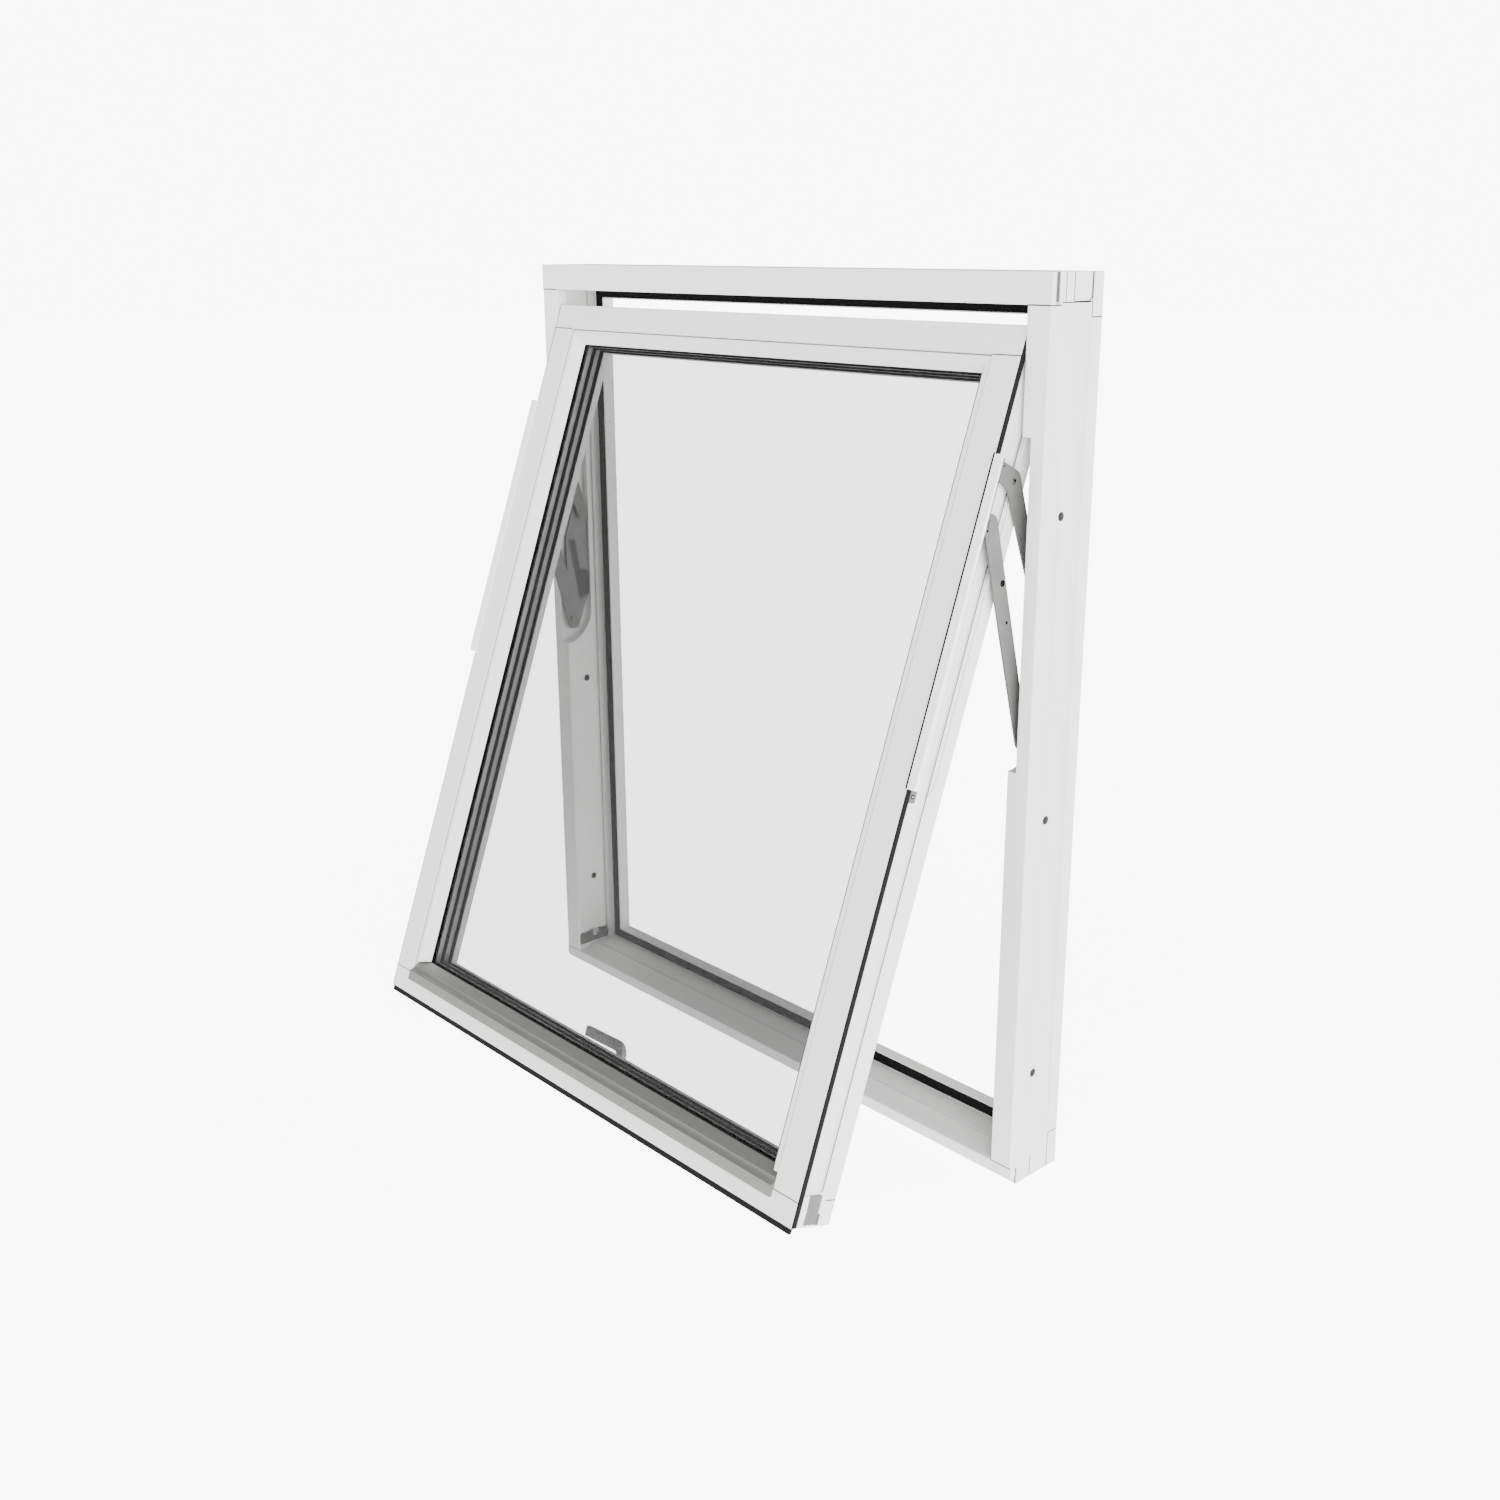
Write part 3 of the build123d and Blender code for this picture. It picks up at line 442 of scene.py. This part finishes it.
def seam(name, start, end, across, out, body, width=SEAM_WIDTH):
    """A thin strip from start to end, let into the surface that faces out."""
    half = Vector(across).normalized() * width / 2
    top = Vector(out).normalized() * SEAM_PROUD
    low = Vector(out).normalized() * -SEAM_DEPTH
    ring = (start - half, start + half, end + half, end - half)
    sunk = [corner + low for corner in ring]
    shown = [corner + top for corner in ring]
    bar(name, sunk, shown, joint_and_shade_paint, body, "white_timber")


# The lines of the sash: t, s and n of both ends, the direction across the line, whether it lies on
# the sash's side (or else on its front), and its width
TOP_JOINT = 43.7
FOOT_JOINT = 1268.5
ACROSS_X = Vector((1, 0, 0))
SASH_LINES = (
    (
        "rail_line_top",
        (SASH_SIDE_T, TOP_JOINT, 0),
        (BEAD_JOINT_T, TOP_JOINT, 0),
        (DOWN, False, SEAM_WIDTH),
    ),
    (
        "side_line_top",
        (SASH_SIDE_T, TOP_JOINT, 59.5),
        (SASH_SIDE_T, TOP_JOINT, 80.5),
        (DOWN, True, SEAM_WIDTH),
    ),
    (
        "rail_line_foot",
        (SASH_SIDE_T, FOOT_JOINT, 0),
        (BEAD_JOINT_T, FOOT_JOINT, 0),
        (DOWN, False, SEAM_WIDTH),
    ),
    (
        "side_line_foot",
        (SASH_SIDE_T, FOOT_JOINT, 59.5),
        (SASH_SIDE_T, FOOT_JOINT, 80.5),
        (DOWN, True, SEAM_WIDTH),
    ),
    (
        "bead_line",
        (BEAD_JOINT_T + 0.8, 46.5, 2),
        (BEAD_JOINT_T + 0.8, 1243, 2),
        (ACROSS_X, False, SEAM_WIDTH),
    ),
    # Painted shade: the step line is a dark strip for the shadow along the step in the sash's side
    (
        "step_line",
        (SASH_SIDE_T, 5, 46.9),
        (SASH_SIDE_T, 1255, 46.9),
        (OUTWARD, True, SEAM_WIDTH),
    ),
    # Painted shade: the corner slot is a dark strip for the shadow inside the slot
    (
        "corner_slot",
        (SASH_SIDE_T, 1288, 52.5),
        (SASH_SIDE_T, 1305, 52.5),
        (OUTWARD, True, SLOT_WIDTH),
    ),
)
for side, name in SIDES:
    for label, start, end, (across, sideways, width) in SASH_LINES:
        ends = [sash_place(side_x(side, t), s, n) for t, s, n in (start, end)]
        out = (side, 0, 0) if sideways else OUTWARD
        seam(f"{label}_{name}", *ends, across, out, "sash", width)

# The joints of the frame, seen on its sides: y and z of both ends
SIDE_LINES = (
    ("head_front", (0.5, 1356), (24, 1356)),
    ("head_back", (24, 1359.5), (91, 1359.5)),
    ("head_seam", (31.6, 1361), (31.6, 1399.5)),
    ("stop_head", (92, 1340), (92, 1399.5)),
    ("stop_corner", (93, 1339), (115.5, 1339)),
    ("tenon_front", (50, 1361), (50, 1399.5)),
    ("tenon_foot", (51, 1360), (85, 1360)),
    ("tenon_slope", (85, 1360), (91, 1366)),
    ("tenon_back", (91, 1366), (91, 1399.5)),
    ("sill_seam", (49, 4), (49, 36)),
    ("stop_sill", (92, 0.5), (92, 60)),
    ("stop_foot", (93, 61), (115.5, 61)),
)
# Painted shade: dark strips for the shadow in the kerf across the head's end, and for the shadow in
# the drip kerf where it shows on the sill's end: t, y, width in millimetres, and z of both ends
KERF_LINES = (
    ("head_kerf", 1.2, 13.7, 8.2, 1360.5, 1399.5),
    ("nose_kerf", 0, 13.2, 2.4, 1, 30),
)
# The joints across the jambs, seen on the frame's outer face: z of each, and t where they end
FRONT_LINES = (("front_line_head", 1356), ("front_line_sill", 32.1))
FRONT_LINE_START = 0.5
FRONT_LINE_END = 40.5

for side, name in SIDES:
    for label, (start_y, start_z), (end_y, end_z) in SIDE_LINES:
        start = frame_place(side, 0, start_y, start_z)
        end = frame_place(side, 0, end_y, end_z)
        across = (0, end_z - start_z, start_y - end_y)
        seam(f"{label}_{name}", start, end, across, (side, 0, 0), "frame")
    for label, t, y, width, low, high in KERF_LINES:
        ends = frame_place(side, t, y, low), frame_place(side, t, y, high)
        seam(f"{label}_{name}", *ends, (0, 1, 0), (side, 0, 0), "frame", width * MM)
    for label, z in FRONT_LINES:
        start = frame_place(side, FRONT_LINE_START, 0, z)
        end = frame_place(side, FRONT_LINE_END, 0, z)
        seam(f"{label}_{name}", start, end, (0, 0, 1), (0, -1, 0), "frame")
print("joint lines drawn")

# %% [markdown]
# The sash gaskets have a soft lip that stands out of their groove and closes the gap to the jamb.
# It is left out where the cover rail lies over it.

# %% Gasket lips
# The lip's section: t beyond the sash's side, and n
LIP_SECTION = ((0.4, 0.4), (-1.6, 0.4), (-2.5, 2.6), (-2.5, 6.4), (-1.6, 9.2), (0.4, 9.2))
# s where each lip starts and ends
LIPS = (("high", 1, 181), ("low", 662, 1306))

for side, name in SIDES:
    for label, start, end in LIPS:
        rings = [
            [sash_place(side_x(side, SASH_SIDE_T + t), s, n) for t, n in LIP_SECTION]
            for s in (start, end)
        ]
        bar(f"gasket_lip_{label}_{name}", *rings, rubber, "sash", "black_rubber")

# %% [markdown]
# Black rubber strips draw dark lines: a strip of painted shadow between the sash and its right
# cover rail, where the photograph shows one, and the seals that line each pane along its daylight
# edge.

# %% Rubber strips
# The glass shows between these lines
DAYLIGHT_T = 120.0
DAYLIGHT_TOP = 66.7
DAYLIGHT_FOOT = 1239.5
# How far each seal reaches past the daylight edge, over the glass and under the timber
LIP = 1.3
LET_IN = 0.8
# n where each dark seal starts, and how deep it is: on the outer pane, on both sides of the middle
# pane and on both sides of the inner pane
SEAL_LINES = (
    ("outer", 18.6, 2.3),
    ("front", 25.1, 3.4),
    ("middle_front", 38.9, 2.0),
    ("middle_back", 45.1, 2.0),
    ("inner", 57.6, 3.3),
    ("back", 65.1, 1.6),
)
# The strip of painted shadow between the sash and the cover rail: its t, its s and its n with its
# depth
COVER_SHADE_T = (42.2, 45.2)
COVER_SHADE_S = (181, 661)
COVER_SHADE_N = -2.7
COVER_SHADE_DEPTH = 2.9


def strip(name, x_ends, s_ends, n, depth):
    """A rubber bar on the sash, which fills two values of x and two of s from n to n + depth."""
    (start_x, end_x), (start_s, end_s) = x_ends, s_ends
    ring = ((start_x, start_s), (end_x, start_s), (end_x, end_s), (start_x, end_s))
    front = [sash_place(x, s, n) for x, s in ring]
    back = [sash_place(x, s, n + depth) for x, s in ring]
    bar(name, front, back, rubber, "sash", "black_rubber")


# Painted shadow: a black strip where the cover rail shades the sash, on the right side only
cover_shade_x = [side_x(1, t) for t in COVER_SHADE_T]
strip("cover_shadow_right", cover_shade_x, COVER_SHADE_S, COVER_SHADE_N, COVER_SHADE_DEPTH)

across_glass = [side_x(side, DAYLIGHT_T) for side, name in SIDES]
down_glass = (DAYLIGHT_TOP, DAYLIGHT_FOOT)
at_top = (DAYLIGHT_TOP - LET_IN, DAYLIGHT_TOP + LIP)
at_foot = (DAYLIGHT_FOOT - LIP, DAYLIGHT_FOOT + LET_IN)
for label, n, depth in SEAL_LINES:
    for side, name in SIDES:
        at_side = (side_x(side, DAYLIGHT_T - LET_IN), side_x(side, DAYLIGHT_T + LIP))
        strip(f"glass_line_{label}_{name}", at_side, down_glass, n, depth)
    for place, s_ends in (("top", at_top), ("foot", at_foot)):
        strip(f"glass_line_{label}_{place}", across_glass, s_ends, n, depth)

# %% [markdown]
# Each fixing hole through a jamb holds a thin grey steel sleeve, open at both ends.

# %% Sleeves in the fixing holes
SLEEVE_R = 6.9 * MM
SLEEVE_BORE = 6.3 * MM
SLEEVE_SIDES = 32
SLEEVE_START = 0.3
HOLE_Y = 45
# z of each hole, and t where its sleeve ends: the high one stops short of the hinge plate
SLEEVES = (("low", 187, 37.2), ("middle", 609, 37.2), ("high", 1066, 24.2))


def sleeve(name, side, z, end):
    """A tube along X, from just inside the jamb's outer side to t at its end."""
    rings = (
        (SLEEVE_START, SLEEVE_R),
        (end, SLEEVE_R),
        (end, SLEEVE_BORE),
        (SLEEVE_START, SLEEVE_BORE),
    )
    vertices = []
    for t, radius in rings:
        for step in range(SLEEVE_SIDES):
            angle = 2 * math.pi * step / SLEEVE_SIDES
            offset = Vector((0, math.cos(angle), math.sin(angle))) * radius
            vertices.append(frame_place(side, t, HOLE_Y, z) + offset)
    faces = []
    for ring in range(len(rings)):
        here = ring * SLEEVE_SIDES
        there = (ring + 1) % len(rings) * SLEEVE_SIDES
        for step in range(SLEEVE_SIDES):
            after = (step + 1) % SLEEVE_SIDES
            faces.append((here + step, here + after, there + after, there + step))
    mesh_piece(name, vertices, faces, dark_zinc, "frame")


for side, name in SIDES:
    for place, z, end in SLEEVES:
        sleeve(f"sleeve_{place}_{name}", side, z, end)

# %% [markdown]
# Screws and rivets repeat, so Geometry Nodes make them. The tree takes a mesh that is only points,
# puts a round head with a small recess on each point, and realizes the result. Its inputs are the
# head's radius and height. The heads lie along X, with the recess on the side of larger X.

# %% Screw head tree
HEAD_SIDES = 24
# The recess: its width as a share of the head's, and its depth as a share of the head's height
RECESS_WIDTH = 0.45
RECESS_DEPTH = 0.6
# A face whose normal has at least this much Z is the head's top
TOP_NORMAL = 0.9


def screw_tree(material, name):
    """Round heads, axis along X, with a sunk middle, on the points of the input mesh."""
    tree = bpy.data.node_groups.new(name, "GeometryNodeTree")
    socket = tree.interface.new_socket
    socket("Points", in_out="INPUT", socket_type="NodeSocketGeometry")
    radius = socket("Head radius", in_out="INPUT", socket_type="NodeSocketFloat")
    height = socket("Head height", in_out="INPUT", socket_type="NodeSocketFloat")
    socket("Heads", in_out="OUTPUT", socket_type="NodeSocketGeometry")
    radius.default_value = 3 * MM
    height.default_value = 1 * MM
    put = tree.nodes.new
    join = tree.links.new
    group_in = put("NodeGroupInput")
    group_out = put("NodeGroupOutput")
    head = put("GeometryNodeMeshCylinder")
    head.inputs["Vertices"].default_value = HEAD_SIDES
    normal = put("GeometryNodeInputNormal")
    split = put("ShaderNodeSeparateXYZ")
    top = put("FunctionNodeCompare")
    top.data_type = "FLOAT"
    top.operation = "GREATER_THAN"
    top.inputs["B"].default_value = TOP_NORMAL
    rim = put("GeometryNodeExtrudeMesh")
    rim.inputs["Offset Scale"].default_value = 0.0
    inset = put("GeometryNodeScaleElements")
    inset.inputs["Scale"].default_value = RECESS_WIDTH
    sink = put("GeometryNodeExtrudeMesh")
    depth = put("ShaderNodeMath")
    depth.operation = "MULTIPLY"
    depth.inputs[1].default_value = -RECESS_DEPTH
    turn = put("GeometryNodeTransform")
    turn.inputs["Rotation"].default_value = (0, math.pi / 2, 0)
    place = put("GeometryNodeInstanceOnPoints")
    real = put("GeometryNodeRealizeInstances")
    paint = put("GeometryNodeSetMaterial")
    paint.inputs["Material"].default_value = material
    join(group_in.outputs["Head radius"], head.inputs["Radius"])
    join(group_in.outputs["Head height"], head.inputs["Depth"])
    join(normal.outputs["Normal"], split.inputs["Vector"])
    join(split.outputs["Z"], top.inputs["A"])
    join(head.outputs["Mesh"], rim.inputs["Mesh"])
    join(top.outputs["Result"], rim.inputs["Selection"])
    join(rim.outputs["Mesh"], inset.inputs["Geometry"])
    join(rim.outputs["Top"], inset.inputs["Selection"])
    join(inset.outputs["Geometry"], sink.inputs["Mesh"])
    join(rim.outputs["Top"], sink.inputs["Selection"])
    join(group_in.outputs["Head height"], depth.inputs[0])
    join(depth.outputs["Value"], sink.inputs["Offset Scale"])
    join(sink.outputs["Mesh"], turn.inputs["Geometry"])
    join(group_in.outputs["Points"], place.inputs["Points"])
    join(turn.outputs["Geometry"], place.inputs["Instance"])
    join(place.outputs["Instances"], real.inputs["Geometry"])
    join(real.outputs["Geometry"], paint.inputs["Geometry"])
    join(paint.outputs["Geometry"], group_out.inputs["Heads"])
    return tree


zinc_heads = screw_tree(zinc, "Zinc screw heads")
# Black discs of painted shade stand for the dark inside of the rivet holes in the arms
hole_shade_heads = screw_tree(rubber, "Painted shade of rivet holes")

bright_zinc, bright_tree, bright_shader = new_finish(
    "bright_zinc", (0.5, 0.5, 0.49), roughness=0.4, metallic=0.5
)
bright_cloud = object_noise(bright_tree, scale=60.0, detail=2.0)
vary_roughness(bright_tree, bright_shader, bright_cloud, low=0.34, high=0.46)
light_heads = screw_tree(bright_zinc, "Bright screw heads")


def heads_on(name, tree, points, radius, height, body, side):
    """Heads at points of the right-hand side, made a plain mesh that rides on one body.

    The radius and the height are in millimetres. With side -1 the points and the finished heads are
    both mirrored, and the two cancel: the heads named left lie on the right too, turned round.
    """
    mesh = bpy.data.meshes.new(name + "_points")
    mesh.from_pydata([(side * x, y, z) for x, y, z in points], [], [])
    source = bpy.data.objects.new(name + "_source", mesh)
    bpy.context.collection.objects.link(source)
    modifier = source.modifiers.new("heads", "NODES")
    modifier.node_group = tree
    sockets = {
        item.name: item.identifier
        for item in tree.interface.items_tree
        if item.item_type == "SOCKET"
    }
    modifier[sockets["Head radius"]] = radius * MM
    modifier[sockets["Head height"]] = height * MM
    bpy.context.view_layer.update()
    evaluated = source.evaluated_get(bpy.context.evaluated_depsgraph_get())
    solid = bpy.data.meshes.new_from_object(evaluated)
    bpy.data.objects.remove(source)
    piece = bpy.data.objects.new(name, solid)
    bpy.context.collection.objects.link(piece)
    if side < 0:
        solid.transform(Matrix.Scale(-1, 4, (1, 0, 0)))
        solid.flip_normals()
    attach(piece, body)


# %% Screws on the hinge plates, rails and strikers
# y and z of the heads on the frame and of the heads on the arms
PLATE_SCREWS = ((19, 922), (30, 900), (21, 891), (31, 868), (30, 837), (48, 896))
STRIKER_SCREWS = ((14, 56.5), (62, 56.5))
LARGE_HOLE = (-38.2, 976.2)
SMALL_HOLE = (-25.5, 917.4)
LOWER_DOTS = (LARGE_HOLE, SMALL_HOLE, (-72.5, 1061.5), (-77, 1068), (-75.5, 1055))
UPPER_DOTS = ((-14, 1118.1), (-39, 1140.6), (-41.6, 1133.1), (-45.6, 1144.5))
# What each group is made of: its tree, its body, radius and height of a head, t of its middle
HEADS = (
    ("plate_screws", light_heads, "frame", 3.2, 0.4, 33.0, PLATE_SCREWS),
    ("arm_plug_large", zinc_heads, "lower_arms", 4.9, 2.8, 34.8, (LARGE_HOLE,)),
    ("arm_plug_small", zinc_heads, "lower_arms", 2.4, 2.8, 34.8, (SMALL_HOLE,)),
    # The dots are painted shade: black discs for the dark inside of the arms' rivet holes
    ("lower_arm_dots", hole_shade_heads, "lower_arms", 1.9, 0.3, 33.35, LOWER_DOTS),
    ("upper_arm_dots", hole_shade_heads, "upper_arms", 1.9, 0.3, 37.95, UPPER_DOTS),
    ("striker_screws", zinc_heads, "frame", 3.0, 0.8, 39.0, STRIKER_SCREWS),
)
# The screws in the hinge rail, on the sash
RAIL_SCREW_T = 43.9
RAIL_SCREW_N = 16.7
RAIL_SCREWS = (340, 450, 560, 671)
RAIL_SCREW_RADIUS = 3.2
RAIL_SCREW_HEIGHT = 1.0

rail_points = [sash_place(side_x(1, RAIL_SCREW_T), s, RAIL_SCREW_N) for s in RAIL_SCREWS]
rail_size = (RAIL_SCREW_RADIUS, RAIL_SCREW_HEIGHT)
for side, name in SIDES:
    for label, tree, body, radius, height, t, places in HEADS:
        points = [frame_place(1, t, y, z) for y, z in places]
        heads_on(f"{label}_{name}", tree, points, radius, height, body, side)
    heads_on(f"rail_screws_{name}", light_heads, rail_points, *rail_size, "sash", side)
print("screws placed")

# %% [markdown]
# A dark bracket is riveted to each hinge plate. It shows through the glass on the left.

# %% Brackets on the hinge plates
# The bracket's outline, y and z, and t of its two faces
BRACKET = ((16, 889), (31, 887), (41, 829), (60, 823), (61, 777), (38, 769), (30, 814))
BRACKET_FACES = (32.78, 33.1)

for side, name in SIDES:
    rings = [[frame_place(side, t, y, z) for y, z in BRACKET] for t in BRACKET_FACES]
    bar(f"bracket_{name}", *rings, block_plastic, "frame", "zinc_steel")
print("brackets placed")

# %% [markdown]
# The camera stands to the right of the window and a little above its head, where the photograph was
# taken from.

# %% Camera
CAMERA_PLACE = (1.99232, -1.86843, 1.43454)
CAMERA_YAW = math.radians(47.02)
CAMERA_PITCH = math.radians(-16.96)

camera_data = bpy.data.cameras.new("camera")
camera_data.sensor_width = 36
camera_data.lens = 38.92
camera_data.shift_x = -0.0186
camera_data.shift_y = -0.0071
camera = bpy.data.objects.new("camera", camera_data)
camera.location = CAMERA_PLACE
camera.rotation_euler = (math.pi / 2 + CAMERA_PITCH, 0, CAMERA_YAW)
bpy.context.collection.objects.link(camera)
bpy.context.scene.camera = camera

# %% [markdown]
# The floor glows and so does the room, which makes the pale background of the photograph. The
# floor's glow reaches the camera alone: rays that have bounced or gone through the glass don't
# meet the floor.

# %% Floor
FLOOR = 30.0
FLOOR_GLOW = 7.4

floor_mesh = bpy.data.meshes.new("floor")
floor_corners = [(-FLOOR, -FLOOR, 0), (FLOOR, -FLOOR, 0), (FLOOR, FLOOR, 0), (-FLOOR, FLOOR, 0)]
floor_mesh.from_pydata(floor_corners, [], [(0, 1, 2, 3)])
floor = bpy.data.objects.new("floor", floor_mesh)
bpy.context.collection.objects.link(floor)
floor_finish, _, floor_shader = new_finish("floor_paint", (0.9, 0.9, 0.9), roughness=0.95)
floor_shader.inputs["Specular IOR Level"].default_value = 0.0
floor_shader.inputs["Emission Color"].default_value = (1, 1, 1, 1)
floor_shader.inputs["Emission Strength"].default_value = FLOOR_GLOW
floor.visible_diffuse = False
floor.visible_glossy = False
floor.visible_transmission = False
floor_mesh.materials.append(floor_finish)

# %% [markdown]
# The room lights the window softly, most of all from the right and from below, and hardly from the
# upper left. Seen directly, or through the glass, it has one even brightness instead. A Light Path
# node tells the two apart: a ray that has bounced off a surface gets the soft light.

# %% Light
SEEN = 9.0
DIM = 0.0
BRIGHT = 5.4
LIGHT_FROM = (0.9, -0.3, -0.6)

world = bpy.data.worlds.new("studio")
bpy.context.scene.world = world
world.use_nodes = True
room = world.node_tree
background = room.nodes["Background"]
background.inputs["Color"].default_value = (1, 1, 1, 1)
direction = room.nodes.new("ShaderNodeTexCoord")
towards = room.nodes.new("ShaderNodeVectorMath")
towards.operation = "DOT_PRODUCT"
towards.inputs[1].default_value = LIGHT_FROM
glow = room.nodes.new("ShaderNodeMapRange")
glow.inputs["From Min"].default_value = -1.0
glow.inputs["To Min"].default_value = DIM
glow.inputs["To Max"].default_value = BRIGHT
path = room.nodes.new("ShaderNodeLightPath")
bounces = room.nodes.new("ShaderNodeMath")
level = room.nodes.new("ShaderNodeMix")
level.inputs["A"].default_value = SEEN
room.links.new(direction.outputs["Generated"], towards.inputs[0])
room.links.new(towards.outputs["Value"], glow.inputs["Value"])
room.links.new(path.outputs["Diffuse Depth"], bounces.inputs[0])
room.links.new(path.outputs["Glossy Depth"], bounces.inputs[1])
room.links.new(bounces.outputs["Value"], level.inputs["Factor"])
room.links.new(glow.outputs["Result"], level.inputs["B"])
room.links.new(level.outputs["Result"], background.inputs["Strength"])

# A square area light to the right of the camera
KEY_PLACE = Vector((3.6, -2.2, 2.0))
KEY_AIM = Vector((0, 0, 0.7))

key_light = bpy.data.lights.new("key", "AREA")
key_light.size = 2.5
key_light.energy = 60
key = bpy.data.objects.new("key", key_light)
key.location = KEY_PLACE
key.rotation_euler = (KEY_AIM - KEY_PLACE).to_track_quat("-Z", "Y").to_euler()
bpy.context.collection.objects.link(key)
